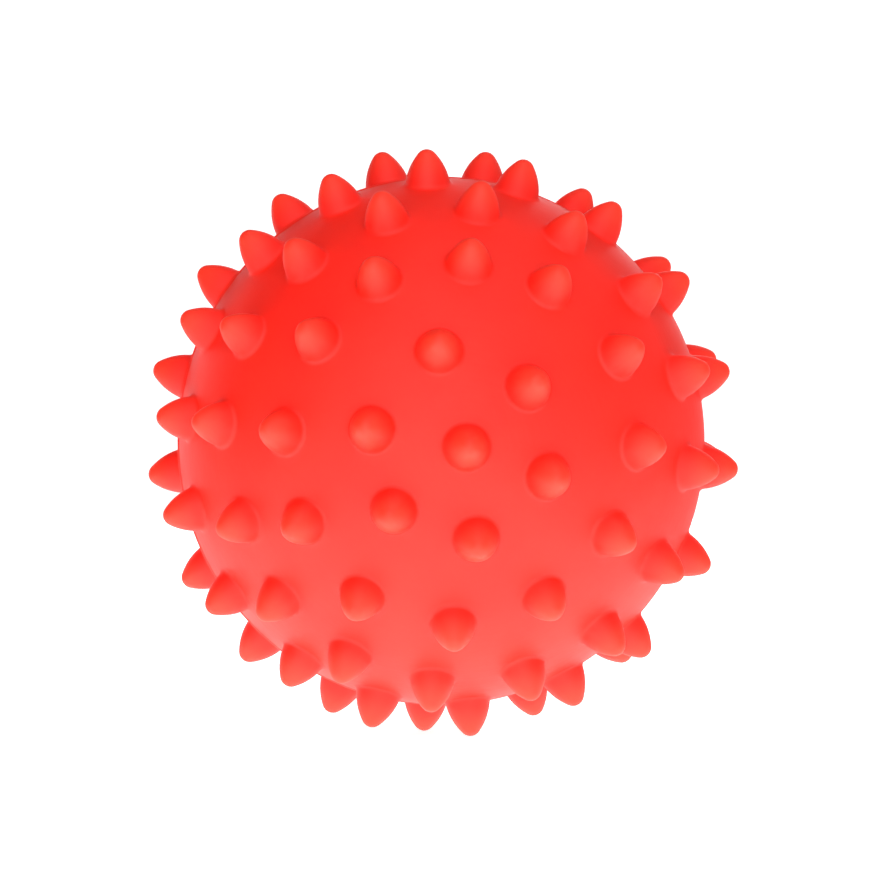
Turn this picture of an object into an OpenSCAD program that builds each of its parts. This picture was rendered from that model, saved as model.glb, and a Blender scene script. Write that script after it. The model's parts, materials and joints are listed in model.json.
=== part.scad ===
// Soft spiky sensory ball: a hollow one-piece skin with its spikes moulded on, a valve socket
// moulded into the skin, and a push-in air plug. The origin is the ball's centre and +Z is up.
// The rows of spikes run round a pole that points to -Y, and the air plug leaves along +Y.

/* [Ball] */
// Diameter over the tips of the spikes
ball_across = 90; // [70:1:140]
// Thickness of the hollow skin between the spikes
wall = 2.5; // [1.5:0.1:4]
// How far the mould's parting line stands out of the skin
seam_h = 0.2; // [0.1:0.05:0.5]
// Radius of the parting line's bead
seam_r = 0.6; // [0.5:0.05:1]

/* [Spikes] */
// Height of a spike above the skin
spike_h = 5.3; // [4:0.1:7]
// Radius of a spike where its side meets the skin
spike_foot_r = 3.4; // [3:0.1:4.5]
// Radius of a spike's rounded tip
spike_tip_r = 1.65; // [0.8:0.05:2]
// Radius of curve of a spike's bulging side
spike_side_r = 9.2; // [8:0.1:20]
// Radius of the soft fillet round a spike's foot
foot_fillet_r = 0.8; // [0.3:0.05:1]

/* [Valve land] */
// Radius of the flat land round the air hole
land_r = 6.2; // [5.8:0.1:7]
// Depth of the boss under the land
boss_l = 9; // [7:0.5:14]
// Thickness of the boss round the valve socket
boss_wall = 2.2; // [1.5:0.1:3]

/* [Valve socket] */
// Radius of the socket's sleeve
socket_r = 4.6; // [4.3:0.1:5.5]
// How far the sleeve stands out of the boss, inside the ball
socket_lip = 1.5; // [0.5:0.1:3]
// How far the anchor ring reaches into the boss
anchor_reach = 1; // [0.5:0.1:1.3]
// Thickness of the anchor ring
anchor_t = 1.6; // [1:0.1:3]
// Depth of the anchor ring under the land
anchor_depth = 5; // [4:0.1:6]

/* [Air plug] */
// Radius of the plug's head
head_r = 3.4; // [3:0.1:3.8]
// Thickness of the plug's head
head_t = 1.2; // [0.8:0.1:2]
// How far the head lies under the land
head_sunk = 0.3; // [0.1:0.1:1]
// Radius of the plug's sealing ribs
stem_r = 2; // [1.6:0.1:2.4]
// Length of the plug's stem below its head
stem_l = 12; // [10:0.5:16]
// Depth of the grooves between the sealing ribs
groove = 0.3; // [0.1:0.05:0.5]
// Number of sealing ribs
ribs = 3; // [2:1:5]
// Share of the ribs' spacing that each groove takes
groove_share = 0.4; // [0.3:0.05:0.6]
// Length of the tapered nose
nose_l = 1.6; // [1:0.1:2.5]
// Radius of the nail notch in the head's rim
notch_r = 0.8; // [0.5:0.1:1]
// Clearance round the stem in its bore
stem_clear = 0.05; // [0.02:0.01:0.1]
// Clearance round the head in its recess
head_clear = 0.15; // [0.1:0.05:0.3]

/* [Hidden] */
$fn = 64;

// Rows of spikes from the front pole to the back: angle from the pole, spikes in the row, and
// the turn of its first spike from +X towards +Z. The back pole holds the air plug.
row_tilts = [0, 19.5, 41, 61, 78.5, 98, 119, 139, 159];
row_counts = [1, 6, 12, 16, 18, 17, 16, 12, 6];
row_turns = [0, 42.5, 27.5, 17, 14.5, 16.5, 6, 20, 2];

// How far the middle of each row lies off the pole, and the turn that it lies towards.
row_slips = [0, 1, 2, 1, 1.5, 1, 0, 0, 0];
row_slip_turns = [0, 205, 80, 315, 340, 350, 0, 0, 0];

// Spikes that stand off their even places: row, place in the row, and the tilt and turn added.
strays = [
    [1, 1, 2, 0], [1, 2, 0, 5], [1, 4, 0, -3],
    [2, 1, -1, 2], [2, 2, -1, 0], [2, 4, -1, -2], [2, 7, 2, 0], [2, 8, 2, 0],
    [3, 8, -4, 2], [3, 9, -2, 1], [3, 10, -1, 1], [3, 13, 0, -1], [3, 14, -1, -2],
    [4, 7, 2, 0], [4, 11, -2, 1], [4, 14, 0, 2], [4, 15, 0, -1],
    [5, 1, -1, 0], [5, 5, 0, 1], [5, 6, 0, 1], [5, 7, 0, 1], [5, 8, 4, 1], [5, 9, 2, 2],
    [5, 11, 1, -1], [5, 12, 2, -3], [5, 13, -1, -2], [5, 14, -1, -2]
];

skin_r = ball_across / 2 - spike_h;
cavity_r = skin_r - wall;
cut_over = wall;

tip_y = skin_r + spike_h;
tip_centre = [0, tip_y - spike_tip_r];
foot_point = [spike_foot_r, height_at(skin_r, spike_foot_r)];
side_centre = arc_centre(tip_centre, foot_point, spike_side_r - spike_tip_r, spike_side_r);
side_top = tip_centre[1] + spike_tip_r * (tip_centre[1] - side_centre[1]) / (spike_side_r - spike_tip_r);
root_y = skin_r - wall / 2;
bite = foot_fillet_r / 20;
fillet_centre = arc_centre([0, 0], side_centre, skin_r + foot_fillet_r - bite,
                           spike_side_r + foot_fillet_r - bite);
on_side = toward(side_centre, fillet_centre, spike_side_r - 2 * bite);
on_skin = toward([0, 0], fillet_centre, skin_r - 2 * bite);

land_y = height_at(skin_r, land_r);
boss_r = socket_r + boss_wall;
recess_r = head_r + head_clear;
recess_d = head_sunk + head_t;
bore_r = stem_r + stem_clear;
core_r = stem_r - groove;
socket_l = boss_l + socket_lip;
rib_pitch = (stem_l - nose_l) / ribs;
nose_r = core_r - groove;

// Height of a circle of radius r, centred on the origin, at the distance x from its middle.
function height_at(r, x) = sqrt(r * r - x * x);

// The point at the distance d from point a on the way to point b.
function toward(a, b, d) = a + (b - a) * d / norm(b - a);

// Centre that lies da from point a and db from point b, on the right of the way from a to b.
function arc_centre(a, b, da, db) =
    let (
        span = norm(b - a),
        along = (da * da + span * span - db * db) / (2 * span),
        aside = sqrt(da * da - along * along),
        way = (b - a) / span
    )
    a + way * along + [way[1], -way[0]] * aside;

// Half outline of a spike, its axis on the outline's left edge, measured from the ball's centre.
module spike_outline() {
    intersection() {
        union() {
            intersection() {
                translate(side_centre) circle(r = spike_side_r, $fn = 96);
                translate([0, root_y]) square([skin_r, side_top - root_y]);
            }
            translate(tip_centre) circle(r = spike_tip_r);
            difference() {
                polygon([[0, on_side[1]], on_side, on_skin, [0, root_y]]);
                translate(fillet_centre) circle(r = foot_fillet_r);
            }
        }
        translate([0, root_y]) square([skin_r, tip_y]);
    }
}

module spike() {
    rotate_extrude() spike_outline();
}

// The tilt and turn that a spike stands off its even place.
function stray(row, i) =
    let (found = [for (s = strays) if (s[0] == row && s[1] == i) [s[2], s[3]]])
    len(found) > 0 ? found[0] : [0, 0];

// Leans a row's middle off the pole by its slip.
module slip_row(row) {
    rotate([0, 0, row_slip_turns[row]])
        rotate([0, row_slips[row], 0])
            rotate([0, 0, -row_slip_turns[row]])
                children();
}

// Places a child on each spike's place, with its own Z along the spike.
module on_each_spike() {
    for (row = [0 : len(row_counts) - 1], i = [0 : row_counts[row] - 1])
        slip_row(row)
            rotate([0, 0, row_turns[row] + i * 360 / row_counts[row] + stray(row, i)[1]])
                rotate([0, row_tilts[row] + stray(row, i)[0], 0])
                    children();
}

// Turns the front pole, modelled along +Z, to -Y.
module pole_to_front() {
    rotate([90, 0, 0]) children();
}

// A cylinder on the plug's axis, from one depth under the land to another.
module under_land(r, from, to) {
    translate([0, 0, -land_y + from]) cylinder(r = r, h = to - from);
}

module spiked_skin() {
    color([0.95, 0.16, 0.14])
    pole_to_front()
    difference() {
        union() {
            difference() {
                union() {
                    sphere(r = skin_r);
                    rotate_extrude() translate([skin_r + seam_h - seam_r, 0]) circle(r = seam_r);
                    on_each_spike() spike();
                }
                sphere(r = cavity_r);
            }
            under_land(boss_r, wall / 2, boss_l);
        }
        under_land(land_r + cut_over, -cut_over, 0);
        under_land(socket_r, -cut_over, boss_l + cut_over);
        under_land(socket_r + anchor_reach, anchor_depth, anchor_depth + anchor_t);
    }
}

module valve_socket() {
    color([0.85, 0.12, 0.11])
    pole_to_front()
    difference() {
        union() {
            under_land(socket_r, 0, socket_l);
            under_land(socket_r + anchor_reach, anchor_depth, anchor_depth + anchor_t);
        }
        under_land(recess_r, -cut_over, recess_d);
        under_land(bore_r, 0, socket_l + cut_over);
    }
}

module air_plug() {
    color([0.8, 0.1, 0.1])
    pole_to_front()
    difference() {
        union() {
            under_land(head_r, head_sunk, recess_d);
            under_land(core_r, head_sunk, recess_d + stem_l - nose_l);
            for (i = [0 : ribs - 1])
                under_land(stem_r, recess_d + (i + groove_share) * rib_pitch, recess_d + (i + 1) * rib_pitch);
            translate([0, 0, -land_y + recess_d + stem_l - nose_l])
                cylinder(r1 = stem_r, r2 = nose_r, h = nose_l);
        }
        translate([head_r, 0, 0]) under_land(notch_r, -cut_over, recess_d + cut_over);
    }
}

spiked_skin();
valve_socket();
air_plug();
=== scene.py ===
"""Looks of the soft spiky sensory ball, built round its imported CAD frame.

The CAD frame says where everything is. This script reads the places of the spikes from the CAD skin,
moulds a finer skin over the same form, turns the valve socket and the air plug on a lathe of Geometry
Nodes, dresses all three in soft vinyl, and sets up the camera, the floor and the lights of the photograph.
Lengths are written in millimetres and turned to metres by MM.
"""

import json
import logging
import math
from collections.abc import Callable
from dataclasses import dataclass, field
from enum import Enum
from functools import partial
from typing import Any

import bpy
import numpy as np
from bpy.types import Camera, Light, Material, Mesh, Node, NodeSocket, NodeTree, Object, World
from mathutils import Matrix, Quaternion, Vector
from mathutils.geometry import delaunay_2d_cdt

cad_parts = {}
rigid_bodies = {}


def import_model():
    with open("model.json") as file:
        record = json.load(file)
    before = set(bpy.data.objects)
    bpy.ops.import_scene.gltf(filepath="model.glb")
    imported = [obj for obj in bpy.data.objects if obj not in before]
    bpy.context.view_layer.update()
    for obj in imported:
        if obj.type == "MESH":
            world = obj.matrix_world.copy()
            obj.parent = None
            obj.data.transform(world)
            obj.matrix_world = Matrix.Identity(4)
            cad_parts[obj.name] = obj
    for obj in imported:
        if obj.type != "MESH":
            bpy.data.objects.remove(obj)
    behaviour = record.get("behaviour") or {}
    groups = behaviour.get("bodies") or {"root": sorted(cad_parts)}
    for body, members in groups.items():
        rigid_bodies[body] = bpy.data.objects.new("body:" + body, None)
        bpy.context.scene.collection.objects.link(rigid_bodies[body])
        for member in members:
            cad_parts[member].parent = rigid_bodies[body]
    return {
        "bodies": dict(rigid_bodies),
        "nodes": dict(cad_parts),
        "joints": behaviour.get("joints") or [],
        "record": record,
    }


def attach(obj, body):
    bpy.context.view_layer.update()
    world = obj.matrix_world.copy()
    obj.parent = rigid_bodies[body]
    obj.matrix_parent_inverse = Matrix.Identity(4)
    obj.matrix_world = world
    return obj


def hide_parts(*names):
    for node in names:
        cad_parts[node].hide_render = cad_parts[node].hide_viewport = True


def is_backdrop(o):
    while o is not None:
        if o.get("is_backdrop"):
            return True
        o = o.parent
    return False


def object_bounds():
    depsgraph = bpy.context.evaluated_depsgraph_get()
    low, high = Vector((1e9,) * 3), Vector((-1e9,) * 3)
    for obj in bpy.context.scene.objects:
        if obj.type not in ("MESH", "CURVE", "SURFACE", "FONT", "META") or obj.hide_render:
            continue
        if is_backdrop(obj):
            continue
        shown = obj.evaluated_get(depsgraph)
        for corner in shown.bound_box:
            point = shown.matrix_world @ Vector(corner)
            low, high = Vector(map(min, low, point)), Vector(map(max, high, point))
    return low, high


LOG = logging.getLogger("sensory_ball")

MM = 0.001
FULL_TURN = 2 * math.pi

# Vertices closer than this are one.
WELD = 0.002 * MM

# The same for points laid flat, on a layout of a ball of radius 1.
FLAT_WELD = 1e-9

# Asks the layout for every triangle between its points.
ALL_CELLS = 0

# How many steps a small round takes, and how far from the bend the points beside it stand, as a share
# of how far the round reaches.
ROUND_STEPS = 3
SUPPORT = 1.4

# Turns a form that was lathed round Z so that its axis runs along +Y, as the air hole's does.
TO_BACK = Matrix.Rotation(-math.pi / 2, 4, "X")

# Blender's names for the nodes that the trees use most.
MATH = "ShaderNodeMath"
VECTOR_MATH = "ShaderNodeVectorMath"
MAP_RANGE = "ShaderNodeMapRange"
NOISE = "ShaderNodeTexNoise"
MIX = "ShaderNodeMix"
MERGE = "GeometryNodeMergeByDistance"
OBJECT_INFO = "GeometryNodeObjectInfo"
RANDOM = "FunctionNodeRandomValue"
PRINCIPLED = "ShaderNodeBsdfPrincipled"
MATERIAL_OUTPUT = "ShaderNodeOutputMaterial"
POSITION = "GeometryNodeInputPosition"
NAMED_ATTRIBUTE = "GeometryNodeInputNamedAttribute"
SET_POSITION = "GeometryNodeSetPosition"

# The plain white of the room and the lights, in sRGB.
WHITE = "#FFFFFF"

# Places of the two colours among a Mix node's inputs.
FROM, TO = 6, 7

# Points of a half outline: the distance from the axis and the height along it, in millimetres.
Outline = list[tuple[float, float]]

# add_node, told already which tree it adds to.
Adder = Callable[..., Node]


class Body(Enum):
    """The rigid bodies that pieces ride on."""

    BALL = "ball"
    PLUG = "plug"


class Slot(Enum):
    """The record's material slots."""

    SKIN = "soft_vinyl"
    SOCKET = "socket_vinyl"
    PLUG = "plug_vinyl"


def linear(code: str) -> tuple[float, float, float, float]:
    """Turns a colour from sRGB hex to linear.

    Args:
        code: the colour as "#RRGGBB".

    Returns:
        Its red, green, blue and an alpha of 1, in linear light.
    """
    shares = [int(code[i : i + 2], 16) / 255 for i in (1, 3, 5)]
    curve = [c / 12.92 if c <= 0.04045 else ((c + 0.055) / 1.055) ** 2.4 for c in shares]
    return (curve[0], curve[1], curve[2], 1.0)


def add_node(
    tree: NodeTree,
    kind: str,
    inputs: dict[str | int, Any] | None = None,
    **settings: Any,
) -> Node:
    """Adds a node to a tree, with its settings and what goes into it.

    Args:
        tree: the tree that the node joins.
        kind: Blender's name for the kind of node.
        inputs: for each input, by name or place, the value that it holds, the socket that feeds it, or
            the node whose first live output feeds it.
        **settings: the node's own settings.

    Returns:
        The new node.
    """
    node = tree.nodes.new(kind)
    for name, value in settings.items():
        setattr(node, name, value)
    for key, value in (inputs or {}).items():
        if isinstance(value, Node):
            value = next(socket for socket in value.outputs if socket.enabled)
        if isinstance(value, NodeSocket):
            tree.links.new(value, node.inputs[key])
        else:
            node.inputs[key].default_value = value
    return node


def bare_tree(owner: Material | World) -> Adder:
    """Gives a material or a world an empty tree.

    Args:
        owner: the material or the world.

    Returns:
        add_node for that tree.
    """
    owner.use_nodes = True
    owner.node_tree.nodes.clear()
    return partial(add_node, owner.node_tree)


def in_scene(name: str, data: Mesh | Light | Camera) -> Object:
    """Makes an object and puts it in the scene.

    Args:
        name: the object's name.
        data: the mesh, light or camera that it holds.

    Returns:
        The object, at the origin.
    """
    made = bpy.data.objects.new(name, data)
    bpy.context.scene.collection.objects.link(made)
    return made


def arc(centre: np.ndarray, radius: float, start: float, end: float, steps: int) -> Outline:
    """Points along an arc of an outline.

    Args:
        centre: the arc's centre.
        radius: its radius.
        start: the angle of its first point, from straight up towards the outside, in radians.
        end: the angle of its last point.
        steps: how many equal steps it takes.

    Returns:
        The arc's points, both ends included.
    """
    return [
        (centre[0] + radius * math.sin(a), centre[1] + radius * math.cos(a))
        for a in np.linspace(start, end, steps + 1)
    ]


def bearing(way: np.ndarray) -> float:
    """Angle of a way, from straight up towards the outside, in radians."""
    return math.atan2(way[0], way[1])


def arc_centre(a: np.ndarray, b: np.ndarray, from_a: float, from_b: float) -> np.ndarray:
    """Centre of an arc that touches two others.

    Args:
        a: the first centre.
        b: the second centre.
        from_a: the distance that it keeps from a.
        from_b: the distance that it keeps from b.

    Returns:
        The centre that lies on the right of the way from a to b.
    """
    span = float(np.linalg.norm(b - a))
    way = (b - a) / span
    along = (from_a**2 + span**2 - from_b**2) / (2 * span)
    aside = math.sqrt(from_a**2 - along**2)
    return a + way * along + np.array([way[1], -way[0]]) * aside


def rounded(bends: list[tuple[float, float, float]]) -> Outline:
    """An outline through bends, each with its own small round.

    A point stands just before and after each round, so that smooth shading keeps the flats flat.

    Args:
        bends: each bend's distance from the axis, height, and radius of its round, or 0 for none.

    Returns:
        The outline's points.
    """
    points: Outline = []
    for i, (x, y, radius) in enumerate(bends):
        here = np.array([x, y])
        if radius == 0 or i in (0, len(bends) - 1):
            points.append((x, y))
            continue
        back = np.array(bends[i - 1][:2]) - here
        ahead = np.array(bends[i + 1][:2]) - here
        back, ahead = back / np.linalg.norm(back), ahead / np.linalg.norm(ahead)
        half = math.acos(float(np.clip(back @ ahead, -1, 1))) / 2
        reach = radius / math.tan(half)
        middle = here + (back + ahead) / np.linalg.norm(back + ahead) * radius / math.sin(half)
        first, last = bearing(here + back * reach - middle), bearing(here + ahead * reach - middle)
        turn = (last - first + math.pi) % FULL_TURN - math.pi
        support = reach * SUPPORT
        points.append(tuple(here + back * support))
        points.extend(arc(middle, radius, first, first + turn, ROUND_STEPS))
        points.append(tuple(here + ahead * support))
    return points


def outline_mesh(name: str, outline: Outline) -> Mesh:
    """Makes a mesh line of an outline, in metres, in the plane of X and Z.

    Args:
        name: the mesh's name.
        outline: the points, in millimetres.

    Returns:
        The mesh, whose vertices keep the order of the outline.
    """
    mesh = bpy.data.meshes.new(name)
    steps = [(i, i + 1) for i in range(len(outline) - 1)]
    mesh.from_pydata([(x * MM, 0, y * MM) for x, y in outline], steps, [])
    return mesh


@dataclass
class NodeForm:
    """A Geometry Nodes tree with named inputs, run on a mesh to give a plain mesh.

    Attributes:
        name: the tree's name.
        inputs: the kind of socket of each named input, after the geometry.
        tree: the tree itself.
        given: the node that hands on what goes into the tree.
    """

    name: str
    inputs: dict[str, str]
    tree: NodeTree = field(init=False)
    given: Node = field(init=False)

    def __post_init__(self) -> None:
        """Makes the tree's sockets."""
        self.tree = bpy.data.node_groups.new(self.name, "GeometryNodeTree")
        face = self.tree.interface
        face.new_socket("Geometry", in_out="INPUT", socket_type="NodeSocketGeometry")
        for name, kind in self.inputs.items():
            face.new_socket(name, in_out="INPUT", socket_type=kind)
        face.new_socket("Geometry", in_out="OUTPUT", socket_type="NodeSocketGeometry")
        self.given = self.add("NodeGroupInput")

    def add(self, kind: str, inputs: dict[str | int, Any] | None = None, **settings: Any) -> Node:
        """Adds a node to this tree, as add_node does."""
        return add_node(self.tree, kind, inputs, **settings)

    def end(self, form: Node) -> None:
        """Ends the tree: instances are made real, and the material is set.

        Args:
            form: the node that gives the finished form.
        """
        smooth = self.add("GeometryNodeSetShadeSmooth", {"Geometry": form})
        real = self.add("GeometryNodeRealizeInstances", {"Geometry": smooth})
        material = self.given.outputs["Material"]
        dressed = self.add("GeometryNodeSetMaterial", {"Geometry": real, "Material": material})
        self.add("NodeGroupOutput", {"Geometry": dressed})

    def run(self, name: str, mesh: Mesh, values: dict[str, Any]) -> Object:
        """Runs the tree on a mesh and keeps the result as a plain mesh.

        Args:
            name: the name of the object that is made.
            mesh: the mesh that goes into the tree.
            values: the value of each named input.

        Returns:
            An object at the origin that holds the plain mesh and has no modifier.
        """
        made = in_scene(name, mesh)
        modifier = made.modifiers.new(self.name, "NODES")
        modifier.node_group = self.tree
        sockets = {
            item.name: item.identifier
            for item in self.tree.interface.items_tree
            if item.item_type == "SOCKET" and item.in_out == "INPUT"
        }
        for key, value in values.items():
            modifier[sockets[key]] = value
        seen = made.evaluated_get(bpy.context.evaluated_depsgraph_get())
        plain = bpy.data.meshes.new_from_object(seen)
        made.modifiers.remove(modifier)
        made.data = plain
        plain.name = name
        plain.materials.clear()
        plain.materials.append(values["Material"])
        return made


class Lathe(NodeForm):
    """Turns an outline round the Z axis. Points on the axis close to a pole."""

    def __init__(self) -> None:
        """Builds the lathe's tree."""
        super().__init__(
            "turned_form",
            {"Segments": "NodeSocketInt", "Weld": "NodeSocketFloat", "Material": "NodeSocketMaterial"},
        )
        given = self.given.outputs
        outline, segments = given["Geometry"], given["Segments"]
        count = self.add("GeometryNodeAttributeDomainSize", {"Geometry": outline}, component="MESH")
        rows = self.add(MATH, {0: segments, 1: 1.0}, operation="ADD")
        grid = self.add("GeometryNodeMeshGrid", {"Vertices X": count, "Vertices Y": rows})
        index = self.add("GeometryNodeInputIndex")
        share = self.add(MATH, {0: index, 1: rows}, operation="DIVIDE")
        column = self.add(MATH, {0: share}, operation="FLOOR")
        row = self.add(MATH, {0: index, 1: rows}, operation="MODULO")
        part = self.add(MATH, {0: row, 1: segments}, operation="DIVIDE")
        angle = self.add(MATH, {0: part, 1: FULL_TURN}, operation="MULTIPLY")
        point = self.add(
            "GeometryNodeSampleIndex",
            {"Geometry": outline, "Value": self.add(POSITION), "Index": column},
            data_type="FLOAT_VECTOR",
            domain="POINT",
        )
        whole = {"Vector": point, "Angle": angle}
        turned = self.add("ShaderNodeVectorRotate", whole, rotation_type="Z_AXIS")
        lathed = self.add(SET_POSITION, {"Geometry": grid, "Position": turned})
        self.end(self.add(MERGE, {"Geometry": lathed, "Distance": given["Weld"]}))

    def turn(self, name: str, outline: Outline, segments: int, material: Material) -> Object:
        """Turns an outline.

        Args:
            name: the name of the object that is made.
            outline: the half outline, in millimetres.
            segments: how many flats go round.
            material: its material.

        Returns:
            The turned object, its axis along Z.
        """
        values = {"Segments": segments, "Weld": WELD, "Material": material}
        return self.run(name, outline_mesh(name, outline), values)


def ring(point: tuple[float, float], segments: int) -> np.ndarray:
    """The circle that the lathe turns a point of an outline to.

    Args:
        point: the point's distance from the axis and its height.
        segments: how many points the circle has.

    Returns:
        The circle's points, one a row, its axis along Z.
    """
    angles = np.arange(segments) * FULL_TURN / segments
    return np.stack([point[0] * np.cos(angles), point[0] * np.sin(angles), np.full(segments, point[1])], 1)


class SpikeField(NodeForm):
    """Sets a spike on each place of the ball's skin, and joins spikes, skin and air hole to one surface."""

    def __init__(self) -> None:
        """Builds the tree."""
        super().__init__(
            "spike_field",
            dict.fromkeys(("Spike", "Places", "Air hole"), "NodeSocketObject")
            | dict.fromkeys(
                ("Skin radius", "Spike height", "Short by", "Lean", "Bead radius", "Bead height", "Weld"),
                "NodeSocketFloat",
            )
            | {"Seed": "NodeSocketInt", "Material": "NodeSocketMaterial"},
        )
        given = self.given.outputs
        beaded, spikes = self.beaded_skin(), self.spikes()
        hole = self.add(OBJECT_INFO, {"Object": given["Air hole"]})
        joined = self.add("GeometryNodeJoinGeometry", {"Geometry": beaded})
        for part in (spikes, hole):
            self.tree.links.new(part.outputs["Geometry"], joined.inputs["Geometry"])
        form = self.add(MERGE, {"Geometry": joined, "Distance": given["Weld"]})
        for name in ("facing", "tip_shift"):
            form = self.add("GeometryNodeRemoveAttribute", {"Geometry": form, "Name": name})
        self.end(form)

    def beaded_skin(self) -> Node:
        """Raises the bead of the mould's parting line out of the skin, round the ball where Y is 0.

        Returns:
            The node that gives the skin between the spikes.
        """
        given = self.given.outputs
        radius, height = given["Bead radius"], given["Bead height"]
        place = self.add(POSITION)
        across = self.add("ShaderNodeSeparateXYZ", {0: place}).outputs["Y"]
        squares = [self.add(MATH, {0: side, 1: side}, operation="MULTIPLY") for side in (radius, across)]
        chord = self.add(MATH, {0: squares[0], 1: squares[1]}, operation="SUBTRACT")
        inside = self.add(MATH, {0: chord, 1: 0.0}, operation="MAXIMUM")
        bulge = self.add(MATH, {0: inside}, operation="SQRT")
        sunk = self.add(MATH, {0: radius, 1: height}, operation="SUBTRACT")
        proud = self.add(MATH, {0: bulge, 1: sunk}, operation="SUBTRACT")
        raised = self.add(MATH, {0: proud, 1: 0.0}, operation="MAXIMUM")
        out = self.add(VECTOR_MATH, {0: place}, operation="NORMALIZE")
        offset = self.add(VECTOR_MATH, {0: out, "Scale": raised}, operation="SCALE")
        return self.add(SET_POSITION, {"Geometry": given["Geometry"], "Offset": offset})

    def spikes(self) -> Node:
        """Sets the spikes, each a little short and leaning a little, as soft mouldings come out.

        Returns:
            The node that gives the spikes, their feet unmoved.
        """
        given = self.given.outputs
        spike, places = [self.add(OBJECT_INFO, {"Object": given[name]}) for name in ("Spike", "Places")]
        facing = self.add(NAMED_ATTRIBUTE, {"Name": "facing"}, data_type="QUATERNION")
        points, shape = places.outputs["Geometry"], spike.outputs["Geometry"]
        sources = {"Points": points, "Instance": shape, "Rotation": facing}
        placed = self.add("GeometryNodeInstanceOnPoints", sources)
        place = self.add(POSITION)
        axis = self.add(VECTOR_MATH, {0: place}, operation="NORMALIZE")
        limits = {"Min": (-1.0, -1.0, -1.0), "Max": (1.0, 1.0, 1.0), "Seed": given["Seed"]}
        lean = self.add(RANDOM, limits, data_type="FLOAT_VECTOR")
        short = self.add(RANDOM, {"Seed": given["Seed"]}, data_type="FLOAT")
        leaning = self.add(VECTOR_MATH, {0: lean, "Scale": given["Lean"]}, operation="SCALE")
        loss = self.add(MATH, {0: short, 1: given["Short by"]}, operation="MULTIPLY")
        sinking = self.add(VECTOR_MATH, {0: axis, "Scale": loss}, operation="SCALE")
        shift = self.add(VECTOR_MATH, {0: leaning, 1: sinking}, operation="SUBTRACT")
        told = self.add(
            "GeometryNodeStoreNamedAttribute",
            {"Geometry": placed, "Name": "tip_shift", "Value": shift},
            data_type="FLOAT_VECTOR",
            domain="INSTANCE",
        )
        real = self.add("GeometryNodeRealizeInstances", {"Geometry": told})
        reach = self.add(VECTOR_MATH, {0: place}, operation="LENGTH")
        above = self.add(MATH, {0: reach, 1: given["Skin radius"]}, operation="SUBTRACT")
        height = self.add(MATH, {0: above, 1: given["Spike height"]}, operation="DIVIDE")
        share = self.add(MAP_RANGE, {"Value": height}, interpolation_type="SMOOTHSTEP", clamp=True)
        carried = self.add(NAMED_ATTRIBUTE, {"Name": "tip_shift"}, data_type="FLOAT_VECTOR")
        offset = self.add(VECTOR_MATH, {0: carried, "Scale": share}, operation="SCALE")
        return self.add(SET_POSITION, {"Geometry": real, "Offset": offset})


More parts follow.
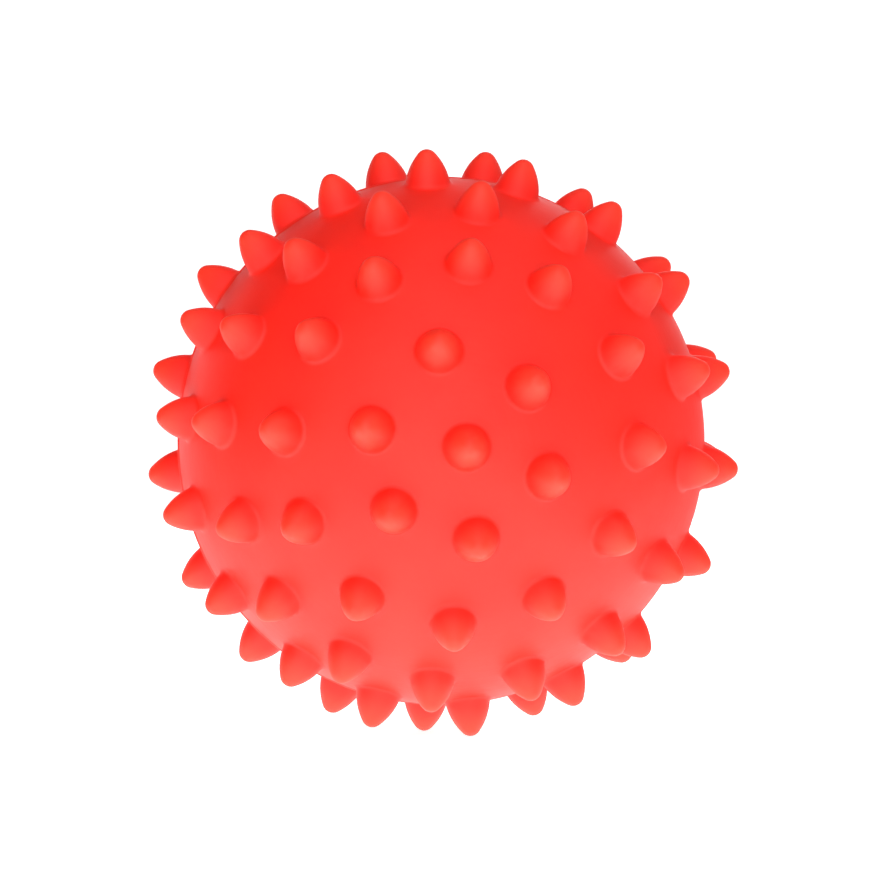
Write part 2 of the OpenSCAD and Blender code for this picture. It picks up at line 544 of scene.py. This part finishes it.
@dataclass(frozen=True)
class SoftVinyl:
    """Soft PVC, rotation moulded in a polished metal mould that has gone dull.

    That gives the eye one deep colour all through, a satin skin with a wide soft gloss, a painted paler
    tint towards each spike's tip that stands in for light glowing through the thin tips, and a faint
    unevenness that shows only where light grazes it.

    Attributes:
        name: the material's name.
        skin: colour of the skin.
        mottle: colour that the skin drifts to in soft patches.
        tip: colour towards the tips of the spikes, a painted paler tint that stands in for light glowing
            through them.
        roughness: roughness of the satin skin.
        dulling: how far the roughness goes up and down with the patches.
        ior: how strongly the vinyl bends light.
        painted_tip_glow_from: distance from the ball's centre where the spikes start to pale with the
            painted glow, in millimetres.
        painted_tip_glow_to: distance from the ball's centre where that painted glow is at its palest.
        patch: size of the soft patches, in millimetres.
        patch_levels: levels of the patches' noise between which the colour drifts.
        ripple: size of the soft unevenness of the skin, in millimetres.
        ripple_depth: its depth, in millimetres.
        grain: size of the skin's fine grain, in millimetres.
        grain_depth: its depth, in millimetres.
        mark: distance between the fine marks that run round the ball's pole axis, in millimetres.
        mark_length: how far such a mark runs before it fades, in millimetres.
        mark_depth: its depth, in millimetres.
        ball_r: radius that the marks' distance is counted at, in millimetres.
        coarse_octaves: octaves of the patches and of the marks.
        fine_octaves: octaves of the ripple and of the grain.
        scatter: how far light wanders in the vinyl, in millimetres.
        scatter_share: share of the light that wanders.
        scatter_reach: how far red, green and blue wander, as shares of scatter.
    """

    name: str
    skin: str
    mottle: str
    tip: str
    roughness: float
    dulling: float = 0.06
    ior: float = 1.45
    painted_tip_glow_from: float = 40.5
    painted_tip_glow_to: float = 44.8
    patch: float = 14.0
    patch_levels: tuple[float, float] = (0.35, 0.7)
    ripple: float = 2.6
    ripple_depth: float = 0.04
    grain: float = 0.5
    grain_depth: float = 0.01
    mark: float = 0.9
    mark_length: float = 9.0
    mark_depth: float = 0.02
    ball_r: float = 40.0
    coarse_octaves: float = 3.0
    fine_octaves: float = 2.0
    scatter: float = 2.5
    scatter_share: float = 0.5
    scatter_reach: tuple[float, float, float] = (1.0, 0.25, 0.15)

    def turning_marks(self, add: Adder, place: NodeSocket) -> Node:
        """Adds the fine marks that the mould's turning on a lathe left round the ball's pole axis.

        Args:
            add: add_node for the material's tree.
            place: the socket that gives the place in the object's own coordinates.

        Returns:
            A noise that is drawn out along circles round the Y axis.
        """
        length = 1 / (self.mark_length * MM)
        flat = add(VECTOR_MATH, {0: place, 1: (1.0, 0.0, 1.0)}, operation="MULTIPLY")
        out = add(VECTOR_MATH, {0: flat}, operation="LENGTH")
        along = add("ShaderNodeSeparateXYZ", {0: place}).outputs["Y"]
        tilt = add(MATH, {0: out, 1: along}, operation="ARCTAN2")
        across = add(MATH, {0: tilt, 1: self.ball_r / self.mark}, operation="MULTIPLY")
        line = add("ShaderNodeCombineXYZ", {"Y": across})
        drawn = add(VECTOR_MATH, {0: flat, 1: (length, 0.0, length), 2: line}, operation="MULTIPLY_ADD")
        return add(NOISE, {"Vector": drawn, "Scale": 1.0, "Detail": self.coarse_octaves})

    def material(self) -> Material:
        """Builds the material.

        Returns:
            The material, its patterns in the object's own coordinates.
        """
        made = bpy.data.materials.new(self.name)
        add = bare_tree(made)
        place = add("ShaderNodeTexCoord").outputs["Object"]
        patches, ripples, grains = [
            add(NOISE, {"Vector": place, "Scale": 1 / (size * MM), "Detail": octaves})
            for size, octaves in (
                (self.patch, self.coarse_octaves),
                (self.ripple, self.fine_octaves),
                (self.grain, self.fine_octaves),
            )
        ]
        low, high = self.patch_levels
        levels = {"Value": patches, "From Min": low, "From Max": high}
        drift = add(MAP_RANGE, levels, interpolation_type="SMOOTHSTEP")
        body = add(MIX, {0: drift, FROM: linear(self.skin), TO: linear(self.mottle)}, data_type="RGBA")
        # The spikes are painted paler towards their tips: a painted glow that stands in for light passing
        # through the thin tips.
        reach = add(VECTOR_MATH, {0: place}, operation="LENGTH")
        levels = {"Value": reach, "From Min": self.painted_tip_glow_from * MM, "From Max": self.painted_tip_glow_to * MM}
        height = add(MAP_RANGE, levels, interpolation_type="SMOOTHSTEP")
        colour = add(MIX, {0: height, FROM: body, TO: linear(self.tip)}, data_type="RGBA")
        normal: dict[str, Node] = {}
        for pattern, depth in (
            (ripples, self.ripple_depth),
            (self.turning_marks(add, place), self.mark_depth),
            (grains, self.grain_depth),
        ):
            relief = {"Height": pattern, "Strength": 1.0, "Distance": depth * MM}
            normal = {"Normal": add("ShaderNodeBump", relief | normal)}
        low, high = self.roughness - self.dulling, self.roughness + self.dulling
        dull = add(MAP_RANGE, {"Value": patches, "To Min": low, "To Max": high})
        shader = add(
            PRINCIPLED,
            {
                "Base Color": colour,
                "Roughness": dull,
                "IOR": self.ior,
                "Subsurface Weight": self.scatter_share,
                "Subsurface Radius": self.scatter_reach,
                "Subsurface Scale": self.scatter * MM,
            }
            | normal,
        )
        add(MATERIAL_OUTPUT, {"Surface": shader})
        return made


# In the skin's vinyl the tip colour is a painted paler tint, a painted glow for light passing through the
# spikes' thin tips.
SKIN_VINYL = SoftVinyl("soft_red_vinyl", skin="#FC1A03", mottle="#F91601", tip="#FF3018", roughness=0.62)
SOCKET_VINYL = SoftVinyl("socket_red_vinyl", skin="#E0180F", mottle="#DA140C", tip="#E0180F", roughness=0.36)
PLUG_VINYL = SoftVinyl("plug_red_vinyl", skin="#D8140C", mottle="#D0100A", tip="#D8140C", roughness=0.32)


@dataclass(frozen=True)
class WhiteBoard:
    """Painted fibreboard, rolled smooth and matt.

    That gives the eye an even white without gloss, which shines a little by itself, so that the floor
    is as white as the room behind it.

    Attributes:
        name: the material's name.
        paint: colour of the paint.
        roughness: roughness of the paint.
        ior: how strongly the paint bends light.
        glow: how much it shines by itself.
    """

    name: str = "matt_white_board"
    paint: str = "#F4F4F4"
    roughness: float = 0.9
    ior: float = 1.49
    glow: float = 0.8

    def material(self) -> Material:
        """Builds the material.

        Returns:
            The material, with no pattern.
        """
        made = bpy.data.materials.new(self.name)
        add = bare_tree(made)
        shader = add(
            PRINCIPLED,
            {
                "Base Color": linear(self.paint),
                "Roughness": self.roughness,
                "IOR": self.ior,
                "Emission Color": linear(WHITE),
                "Emission Strength": self.glow,
            },
        )
        add(MATERIAL_OUTPUT, {"Surface": shader})
        return made


@dataclass
class Spike:
    """One moulded spike: a rounded tip, a bulging side and a small fillet round its foot."""

    skin_r: float = 39.7
    height: float = 5.3
    foot_r: float = 3.4
    tip_r: float = 1.65
    side_r: float = 9.2
    fillet_r: float = 0.8
    tip_steps: int = 4
    side_steps: int = 7
    fillet_steps: int = 5
    segments: int = 40

    def outline(self) -> Outline:
        """Half outline of the spike, its height counted from the ball's centre.

        Returns:
            The points, from the tip to where the fillet meets the skin.
        """
        middle = np.zeros(2)
        tip = np.array([0, self.skin_r + self.height - self.tip_r])
        foot = np.array([self.foot_r, math.sqrt(self.skin_r**2 - self.foot_r**2)])
        side = arc_centre(tip, foot, self.side_r - self.tip_r, self.side_r)
        fillet = arc_centre(middle, side, self.skin_r + self.fillet_r, self.side_r + self.fillet_r)
        crest, hip = bearing(tip - side), bearing(fillet - side)
        toe, sole = bearing(side - fillet), bearing(middle - fillet)
        return [
            *arc(tip, self.tip_r, 0, crest, self.tip_steps),
            *arc(side, self.side_r, crest, hip, self.side_steps)[1:],
            *arc(fillet, self.fillet_r, toe, sole, self.fillet_steps)[1:],
        ]


@dataclass
class AirHole:
    """The flat land at the back of the skin, the hole under it, and the boss that holds the socket."""

    skin_r: float = 39.7
    wall: float = 2.5
    land_r: float = 6.2
    boss_l: float = 9.0
    boss_wall: float = 2.2
    socket_r: float = 4.6
    anchor_reach: float = 1.0
    anchor_t: float = 1.6
    anchor_depth: float = 5.0
    edge_r: float = 0.15
    rim: float = 0.3  # how far the land's soft edge reaches, inwards and outwards
    rim_drop: float = 0.009  # how far that edge lies under the land
    boss_round: float = 0.4
    inside_steps: int = 44
    segments: int = 72

    @property
    def land_y(self) -> float:
        """Height of the flat land."""
        return math.sqrt(self.skin_r**2 - self.land_r**2)

    def rim_point(self) -> tuple[float, float]:
        """The point of the skin, just outside the land, where the hole's outline starts."""
        x = self.land_r + self.rim
        return x, math.sqrt(self.skin_r**2 - x**2)

    def outline(self) -> Outline:
        """Half outline of the whole inside, the boss, the hole and the land.

        Returns:
            The points, from the axis at the front of the inside to the skin just outside the land.
        """
        land, cavity_r = self.land_y, self.skin_r - self.wall
        boss_r, foot = self.socket_r + self.boss_wall, land - self.boss_l
        groove_r, top = self.socket_r + self.anchor_reach, land - self.anchor_depth
        hole = rounded(
            [
                (*self.rim_point(), 0),
                (self.land_r, land - self.rim_drop, 0),
                (self.land_r - self.rim, land, 0),
                (self.socket_r, land, self.edge_r),
                (self.socket_r, top, 0),
                (groove_r, top, 0),
                (groove_r, top - self.anchor_t, 0),
                (self.socket_r, top - self.anchor_t, 0),
                (self.socket_r, foot, 0),
                (boss_r, foot, self.boss_round),
                (boss_r, math.sqrt(cavity_r**2 - boss_r**2), 0),
            ]
        )
        inside = arc(np.zeros(2), cavity_r, math.asin(boss_r / cavity_r), math.pi, self.inside_steps)[1:]
        return [(0.0, -cavity_r), *inside[-2::-1], *hole[::-1]]


@dataclass
class SpikedSkin:
    """The hollow one-piece skin of the ball, with its spikes and the bead of its parting line."""

    name: str = "moulded_skin"
    spike: Spike = field(default_factory=Spike)
    hole: AirHole = field(default_factory=AirHole)
    bead_h: float = 0.2
    bead_r: float = 0.6
    bead_levels: tuple[float, ...] = (-1, -0.62, -0.28, 0, 0.28, 0.62, 1)  # shares of its half width
    bead_points: int = 280
    tip_band: float = 0.1  # points this far below the highest tip still belong to tips
    spacing: float = 1.25  # between the points of the skin
    clear_share: float = 0.6  # share of the spacing that the points keep from spikes and bead
    short_by: float = 0.2  # the most that a spike is short
    lean: float = 0.08  # the most that a tip leans, on each axis
    seed: int = 1

    def places(self, node: Object) -> list[Vector]:
        """Finds the spikes on the CAD skin: each tip is the furthest point round it.

        Args:
            node: the CAD node of the skin.

        Returns:
            The way to each tip from the ball's centre.
        """
        points = np.array([v.co for v in node.data.vertices])
        reach = np.linalg.norm(points, axis=1)
        high = reach > reach.max() - self.tip_band * MM
        ways = (points[high] / reach[high, None])[np.argsort(-reach[high])]
        apart = math.cos(self.spike.foot_r / self.spike.skin_r)
        tips: list[np.ndarray] = []
        for way in ways:
            if not tips or (np.array(tips) @ way).max() < apart:
                tips.append(way)
        tips.sort(key=lambda tip: (round(tip[1], 3), math.atan2(tip[2], tip[0])))
        return [Vector(tip) for tip in tips]

    def places_object(self, facings: list[Quaternion]) -> Object:
        """Makes the points that the spikes are set on.

        Args:
            facings: the turn that takes Z to each spike's way.

        Returns:
            An object of loose points on the skin, each with its facing.
        """
        mesh = bpy.data.meshes.new("spike_places")
        up = Vector((0, 0, self.spike.skin_r * MM))
        mesh.from_pydata([facing @ up for facing in facings], [], [])
        turns = mesh.attributes.new("facing", "QUATERNION", "POINT")
        turns.data.foreach_set("value", [value for facing in facings for value in facing])
        return bpy.data.objects.new("spike_places", mesh)

    def skin_points(self, ways: np.ndarray, foot: tuple[float, float]) -> np.ndarray:
        """Spreads points evenly over the skin, clear of the spikes, the bead and the air hole.

        Args:
            ways: the way to each spike, one a row.
            foot: the point of a spike's outline that meets the skin.

        Returns:
            The points, one a row, in millimetres.
        """
        radius = self.spike.skin_r
        count = round(4 * math.pi * radius**2 / (self.spacing**2 * math.sqrt(3) / 2))
        level = 1 - (2 * np.arange(count) + 1) / count
        turn = np.arange(count) * math.pi * (3 - math.sqrt(5))  # a golden angle from each to the next
        out = np.sqrt(1 - level**2)
        spread = np.stack([out * np.cos(turn), level, out * np.sin(turn)], 1)
        gap = self.clear_share * self.spacing
        margin = gap / radius
        clear = (spread @ ways.T).max(1) < math.cos(math.asin(foot[0] / radius) + margin)
        clear &= np.abs(level) * radius > self.bead_half() + gap
        clear &= level < math.cos(math.asin(self.hole.rim_point()[0] / radius) + margin)
        return spread[clear] * radius

    def bead_half(self) -> float:
        """Half the width of the parting line's bead where it leaves the skin."""
        return math.sqrt(self.bead_r**2 - (self.bead_r - self.bead_h) ** 2)

    def bead_rings(self) -> np.ndarray:
        """Makes rings of points along the parting line.

        Returns:
            The points, one a row, in millimetres.
        """
        rings = []
        for level in self.bead_levels:
            y = level * self.bead_half()
            circle = ring((math.sqrt(self.spike.skin_r**2 - y**2), y), self.bead_points)
            rings.append(circle[:, [0, 2, 1]])
        return np.concatenate(rings)

    def web(self, facings: list[Quaternion]) -> Mesh:
        """Makes the skin between the spikes, with a round hole at each spike's foot and at the air hole.

        The points are laid flat from the air hole's pole, which keeps circles round, and joined to
        triangles there. A triangle that has all its corners on one foot fills a hole, and is left out.

        Args:
            facings: the turn that takes Z to each spike's way.

        Returns:
            The mesh, in metres.
        """
        foot = self.spike.outline()[-1]
        turns = np.array([facing.to_matrix() for facing in facings])
        feet = np.einsum("sij,pj->spi", turns, ring(foot, self.spike.segments))
        rim = ring(self.hole.rim_point(), self.hole.segments) @ np.array(TO_BACK.to_3x3()).T
        loose = np.concatenate([rim, self.skin_points(turns[:, :, 2], foot), self.bead_rings()])
        points = np.concatenate([feet.reshape(-1, 3), loose])
        unit = points / np.linalg.norm(points, axis=1)[:, None]
        flat = unit[:, [0, 2]] / (1 - unit[:, 1:2])
        _, _, cells, sources, *_ = delaunay_2d_cdt([Vector(p) for p in flat], [], [], ALL_CELLS, FLAT_WELD)
        faces = np.array([ids[0] for ids in sources])[np.array(cells)]
        feet_owners = np.repeat(np.arange(len(facings)), self.spike.segments)
        owners = np.concatenate([feet_owners, np.full(len(loose), -1)])[faces]
        filled = (owners[:, 0] >= 0) & (owners == owners[:, :1]).all(1)
        faces = faces[~filled]
        ends = points[faces]
        normals = np.cross(ends[:, 1] - ends[:, 0], ends[:, 2] - ends[:, 0])
        inward = (normals * ends[:, 0]).sum(1) < 0
        faces[inward] = faces[inward][:, ::-1]
        mesh = bpy.data.meshes.new(self.name)
        mesh.from_pydata((points * MM).tolist(), [], faces.tolist())
        return mesh

    def build(self, frame: dict[str, Any], lathe: Lathe) -> Object:
        """Builds the skin and sets it in place of its CAD node.

        Args:
            frame: the loaded frame.
            lathe: the lathe that turns the spike and the air hole.

        Returns:
            The finished piece.
        """
        material = SKIN_VINYL.material()
        facings = [tip.to_track_quat("Z", "Y") for tip in self.places(frame["nodes"]["spiked_skin"])]
        low = [(x, y - self.spike.skin_r) for x, y in self.spike.outline()]
        helpers = {
            "Spike": lathe.turn("one_spike", low, self.spike.segments, material),
            "Places": self.places_object(facings),
            "Air hole": lathe.turn("air_hole", self.hole.outline(), self.hole.segments, material),
        }
        helpers["Air hole"].data.transform(TO_BACK)
        sizes = {
            "Skin radius": self.spike.skin_r * MM,
            "Spike height": self.spike.height * MM,
            "Short by": self.short_by * MM,
            "Lean": self.lean * MM,
            "Bead radius": self.bead_r * MM,
            "Bead height": self.bead_h * MM,
            "Weld": WELD,
            "Seed": self.seed,
            "Material": material,
        }
        skin = SpikeField().run(self.name, self.web(facings), helpers | sizes)
        for helper in helpers.values():
            bpy.data.objects.remove(helper)
        LOG.info("%s: %d spikes", self.name, len(facings))
        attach(skin, Body.BALL.value)
        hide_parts("spiked_skin")
        return skin


@dataclass
class ValveSocket:
    """The sleeve moulded into the boss, whose bore holds the air plug."""

    name: str = "socket_insert"
    hole: AirHole = field(default_factory=AirHole)
    lip: float = 1.5
    recess_r: float = 3.55
    recess_d: float = 1.5
    bore_r: float = 2.05
    edge_r: float = 0.15
    segments: int = 72

    def outline(self) -> Outline:
        """Half outline of the sleeve, once round and back to its start.

        Returns:
            The points, in order.
        """
        hole, top = self.hole, self.hole.land_y
        foot = top - hole.boss_l - self.lip
        seat = top - self.recess_d
        sleeve_r, ring_r, edge = hole.socket_r, hole.socket_r + hole.anchor_reach, self.edge_r
        ring_top = top - hole.anchor_depth
        ring_foot = ring_top - hole.anchor_t
        start = ((self.recess_r + sleeve_r) / 2, top, 0)
        return rounded(
            [
                start,
                (self.recess_r, top, edge),
                (self.recess_r, seat, edge / 2),
                (self.bore_r, seat, edge / 2),
                (self.bore_r, foot, edge),
                (sleeve_r, foot, edge),
                (sleeve_r, ring_foot, 0),
                (ring_r, ring_foot, edge),
                (ring_r, ring_top, edge),
                (sleeve_r, ring_top, 0),
                (sleeve_r, top, edge),
                start,
            ]
        )[::-1]

    def build(self, lathe: Lathe) -> Object:
        """Turns the sleeve and sets it in place of its CAD node.

        Args:
            lathe: the lathe that turns it.

        Returns:
            The finished piece.
        """
        sleeve = lathe.turn(self.name, self.outline(), self.segments, SOCKET_VINYL.material())
        sleeve.data.transform(TO_BACK)
        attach(sleeve, Body.BALL.value)
        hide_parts("valve_socket")
        return sleeve


@dataclass
class AirPlug:
    """The push-in plug: a sunk head with a nail notch, a ribbed stem and a tapered nose."""

    name: str = "pull_plug"
    hole: AirHole = field(default_factory=AirHole)
    head_r: float = 3.4
    head_t: float = 1.2
    head_sunk: float = 0.3
    stem_r: float = 2.0
    stem_l: float = 12.0
    groove: float = 0.3
    ribs: int = 3
    groove_share: float = 0.4
    nose_l: float = 1.6
    notch_r: float = 0.8
    edge_r: float = 0.15
    segments: int = 96

    def outline(self) -> Outline:
        """Half outline of the plug, from the middle of its head to the middle of its nose.

        Returns:
            The points, in order.
        """
        top = self.hole.land_y - self.head_sunk
        under = top - self.head_t
        core_r = self.stem_r - self.groove
        pitch = (self.stem_l - self.nose_l) / self.ribs
        edge = self.edge_r
        head = [(self.head_r, top, edge), (self.head_r, under, edge)]
        bends = [(0.0, top, 0.0), *head, (core_r, under, edge)]
        for i in range(self.ribs):
            upper, lower = under - (i + self.groove_share) * pitch, under - (i + 1) * pitch
            bends += [(core_r, upper, edge / 2), (self.stem_r, upper, edge)]
            if i < self.ribs - 1:
                bends += [(self.stem_r, lower, edge), (core_r, lower, edge / 2)]
        foot = under - self.stem_l
        nose_r = core_r - self.groove
        bends += [(self.stem_r, foot + self.nose_l, edge), (nose_r, foot, 2 * edge), (0.0, foot, 0.0)]
        return rounded(bends)

    def cut_notch(self, mesh: Mesh) -> None:
        """Draws the head's rim in round the nail notch.

        Args:
            mesh: the turned plug, in metres, its axis along Z and the notch on +X.
        """
        count = len(mesh.vertices)
        flat = np.empty(count * 3)
        mesh.vertices.foreach_get("co", flat)
        points = flat.reshape(-1, 3)
        reach, turn = np.hypot(points[:, 0], points[:, 1]), np.arctan2(points[:, 1], points[:, 0])
        beside = self.head_r * MM * np.sin(turn)
        within = (self.notch_r * MM) ** 2 - beside**2
        rim = (reach > (self.stem_r + self.head_r) / 2 * MM) & (within > 0) & (points[:, 0] > 0)
        edge = self.head_r * MM * np.cos(turn) - np.sqrt(np.maximum(within, 0))
        drawn = reach - (self.head_r * MM - edge)
        share = np.where(rim, drawn / np.maximum(reach, WELD), 1)
        points[:, :2] *= share[:, None]
        mesh.vertices.foreach_set("co", points.ravel())
        mesh.update()

    def build(self, lathe: Lathe) -> Object:
        """Turns the plug, cuts its notch and sets it in place of its CAD node.

        Args:
            lathe: the lathe that turns it.

        Returns:
            The finished piece.
        """
        plug = lathe.turn(self.name, self.outline(), self.segments, PLUG_VINYL.material())
        self.cut_notch(plug.data)
        plug.data.transform(TO_BACK)
        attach(plug, Body.PLUG.value)
        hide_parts("air_plug")
        return plug


def direction(azimuth: float, elevation: float) -> Vector:
    """The way from the ball to where something stands.

    Args:
        azimuth: degrees round the ball; 0 is the camera's side and 90 the right.
        elevation: degrees above the level.

    Returns:
        The way, of length 1.
    """
    turn, tilt = math.radians(azimuth), math.radians(elevation)
    return Vector((math.sin(turn) * math.cos(tilt), -math.cos(turn) * math.cos(tilt), math.sin(tilt)))


@dataclass(frozen=True)
class Panel:
    """A flat panel that shines evenly and that the camera doesn't see.

    Attributes:
        name: the light's name.
        width: its width, in metres.
        length: its length, in metres.
        brightness: how bright its face is, where white paper in the light is about 1.
    """

    name: str
    width: float
    length: float
    brightness: float

    def light(self) -> Object:
        """Makes the light.

        Returns:
            The light, at the origin and facing straight down.
        """
        lamp = bpy.data.lights.new(self.name, "AREA")
        lamp.shape = "RECTANGLE"
        lamp.size, lamp.size_y = self.width, self.length
        lamp.energy = self.brightness * math.pi * self.width * self.length
        made = in_scene(self.name, lamp)
        made.visible_camera = False
        return made


@dataclass(frozen=True)
class SoftLight(Panel):
    """A large soft panel that faces the ball.

    Attributes:
        azimuth: where it stands round the ball, in degrees; 0 is the camera's side and 90 the right.
        elevation: how high it stands, in degrees.
        distance: how far off it stands, in metres.
    """

    azimuth: float
    elevation: float
    distance: float

    def build(self) -> None:
        """Hangs the panel."""
        light, way = self.light(), direction(self.azimuth, self.elevation)
        light.location = way * self.distance
        light.rotation_euler = way.to_track_quat("Z", "Y").to_euler()


@dataclass(frozen=True)
class FloorBoard(Panel):
    """A glowing board that lies on the floor before the ball and lights it softly from below.

    Attributes:
        near: the distance of its near edge from under the ball's centre, towards the camera, in metres.
        above: how far it lies above the floor, in millimetres.
    """

    near: float
    above: float = 0.05

    def build(self, azimuth: float, height: float) -> None:
        """Lays the board.

        Args:
            azimuth: the side of the ball that it lies on, in degrees.
            height: the height of the floor, in metres.
        """
        light, way = self.light(), direction(azimuth, 0) * (self.near + self.length / 2)
        light.location = (way.x, way.y, height + self.above * MM)
        light.rotation_euler = (math.pi, 0, math.radians(azimuth))


@dataclass
class Studio:
    """The camera, the pale floor and the soft lights of the photograph.

    Attributes:
        azimuth: where the camera stands round the ball, in degrees.
        elevation: how high the camera looks down from, in degrees.
        distance: how far the camera stands from the ball's centre, in metres.
        picture: the photograph's width and height, in pixels.
        ball_radius: the ball's radius over the tips of its spikes, in millimetres.
        ball_pixels: how many pixels that radius takes, at the ball's centre.
        centre: the column and the row of the photograph where the ball's centre lies.
        sensor: the width of the camera's sensor, in millimetres.
        clip: the nearest and the furthest that the camera sees, in metres.
        ambient: brightness of the room round the ball.
        dark_side: azimuth and elevation of the side where the room is darkest, in degrees.
        dark_ambient: brightness of the room there.
        backdrop: brightness of the plain white that the camera sees past the ball.
        lights: the panels that hang round the ball.
        boards: the boards that lie on the floor.
        boards_azimuth: the side of the ball that the boards lie on, in degrees.
        finish: the floor's finish.
        floor_half: half the floor's width, in metres.
        floor_ends: the floor's near and far ends along Y, in metres.
    """

    azimuth: float = -5.24
    elevation: float = 1.44
    distance: float = 1.08
    picture: int = 870
    ball_radius: float = 45.0
    ball_pixels: float = 298.0
    centre: tuple[float, float] = (441.5, 441.0)
    sensor: float = 36.0
    clip: tuple[float, float] = (0.01, 100.0)
    ambient: float = 0.5
    dark_side: tuple[float, float] = (-120.0, 36.0)
    dark_ambient: float = 0.1
    backdrop: float = 1.2
    lights: tuple[SoftLight, ...] = (
        SoftLight("wide_front_panel", 3.0, 1.8, 0.15, -5, 22, 1.6),
        SoftLight("tall_front_panel", 0.9, 1.5, 1.5, -8, 12, 1.4),
        SoftLight("front_panel", 1.3, 0.7, 1.5, -5, 8, 1.5),
        SoftLight("high_front_panel", 0.8, 0.6, 0.8, -5, 32, 1.4),
        SoftLight("left_panel", 0.9, 1.0, 0.5, -45, 15, 1.4),
        SoftLight("top_panel", 0.9, 0.9, 1.3, 10, 70, 1.2),
        SoftLight("back_panel", 1.2, 1.0, 1.8, 175, 10, 1.6),
        SoftLight("right_rim_panel", 0.5, 1.0, 1.2, 160, 20, 1.6),
        SoftLight("left_rim_panel", 0.6, 1.0, 2.4, -150, 0, 1.6),
    )
    boards: tuple[FloorBoard, ...] = (
        FloorBoard("under_board", 0.2, 0.08, 1.35, -0.06),
        FloorBoard("near_board", 0.24, 0.12, 1.6, 0.02),
        FloorBoard("far_board", 0.4, 0.36, 0.4, 0.14),
    )
    boards_azimuth: float = -20.0
    finish: WhiteBoard = WhiteBoard()
    floor_half: float = 0.2
    floor_ends: tuple[float, float] = (-1.0, 0.9)

    def camera(self) -> None:
        """Sets up the scene's camera."""
        lens = bpy.data.cameras.new("camera")
        lens.sensor_width = self.sensor
        across = self.picture / self.ball_pixels * self.ball_radius * MM
        lens.lens = self.sensor * self.distance / across
        lens.shift_x = (self.picture / 2 - self.centre[0]) / self.picture
        lens.shift_y = (self.centre[1] - self.picture / 2) / self.picture
        lens.clip_start, lens.clip_end = self.clip
        made = in_scene("camera", lens)
        way = direction(self.azimuth, self.elevation)
        made.location = way * self.distance
        made.rotation_euler = way.to_track_quat("Z", "Y").to_euler()
        bpy.context.scene.camera = made

    def floor(self, height: float) -> None:
        """Lays a plain pale floor.

        Args:
            height: the height of the lowest tip of the ball, in metres.
        """
        mesh = bpy.data.meshes.new("floor")
        side, (front, back) = self.floor_half, self.floor_ends
        outline = [(-side, front), (side, front), (side, back), (-side, back)]
        mesh.from_pydata([(x, y, height) for x, y in outline], [], [(0, 1, 2, 3)])
        mesh.materials.append(self.finish.material())
        in_scene("floor", mesh)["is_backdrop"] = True

    def world(self) -> None:
        """Sets a soft room light with one darker side, and plain white past the ball."""
        world = bpy.data.worlds.new("white_room")
        add = bare_tree(world)
        way = add("ShaderNodeTexCoord").outputs["Generated"]
        towards = add(VECTOR_MATH, {0: way, 1: direction(*self.dark_side)}, operation="DOT_PRODUCT")
        level = add(MAP_RANGE, {"Value": towards, "To Min": self.ambient, "To Max": self.dark_ambient})
        seen = add("ShaderNodeLightPath").outputs["Is Camera Ray"]
        room, backdrop = [
            add("ShaderNodeBackground", {"Color": linear(WHITE), "Strength": strength})
            for strength in (level, self.backdrop)
        ]
        both = add("ShaderNodeMixShader", {0: seen, 1: room, 2: backdrop})
        add("ShaderNodeOutputWorld", {"Surface": both})
        bpy.context.scene.world = world

    def build(self, height: float) -> None:
        """Sets up the whole studio.

        Args:
            height: the height of the lowest tip of the ball, in metres.
        """
        bpy.context.scene.view_settings.view_transform = "Standard"
        self.camera()
        self.floor(height)
        self.world()
        for light in self.lights:
            light.build()
        for board in self.boards:
            board.build(self.boards_azimuth, height)
        LOG.info("studio: %d panels and %d boards", len(self.lights), len(self.boards))


def main() -> None:
    """Builds the studio and the ball's pieces."""
    logging.basicConfig(level=logging.INFO, format="%(name)s: %(message)s")
    for leftover in list(bpy.data.objects):
        bpy.data.objects.remove(leftover)
    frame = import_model()
    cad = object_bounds()
    Studio().build(cad[0].z)
    lathe = Lathe()
    for piece in (SpikedSkin().build(frame, lathe), ValveSocket().build(lathe), AirPlug().build(lathe)):
        LOG.info("%s: %d faces", piece.name, len(piece.data.polygons))


if __name__ == "__main__":
    main()
